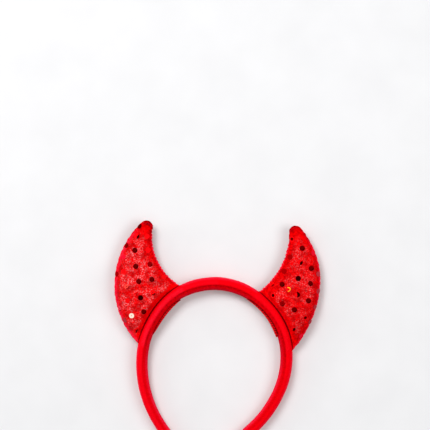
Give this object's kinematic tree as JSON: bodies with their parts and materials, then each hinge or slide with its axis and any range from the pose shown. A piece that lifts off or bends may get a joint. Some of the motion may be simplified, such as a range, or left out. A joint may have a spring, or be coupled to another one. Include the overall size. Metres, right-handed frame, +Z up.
{
  "type": "devil horns headband",
  "caption": "Padded velvet headband with a stuffed, curved devil horn of sequinned glitter cloth on each side, backed by felt patches inside the band.",
  "frame": {"origin": "on the table that the headband lies on, under the middle of its outline", "axes": "+Z up, across the band; +Y from the open legs to the horns' tips; +X to the right, seen from above with the horns away from the viewer"},
  "size_m": [0.171, 0.1976, 0.0177],
  "materials": {
    "velvet": "short-pile red velvet",
    "sequin_cloth": "red glitter cloth with flat foil sequins",
    "felt": "matt red felt"
  },
  "bodies": {
    "root": {"band": "velvet", "horn_left": "sequin_cloth", "horn_right": "sequin_cloth", "patch_left": "felt", "patch_right": "felt"}
  },
  "joints": []
}
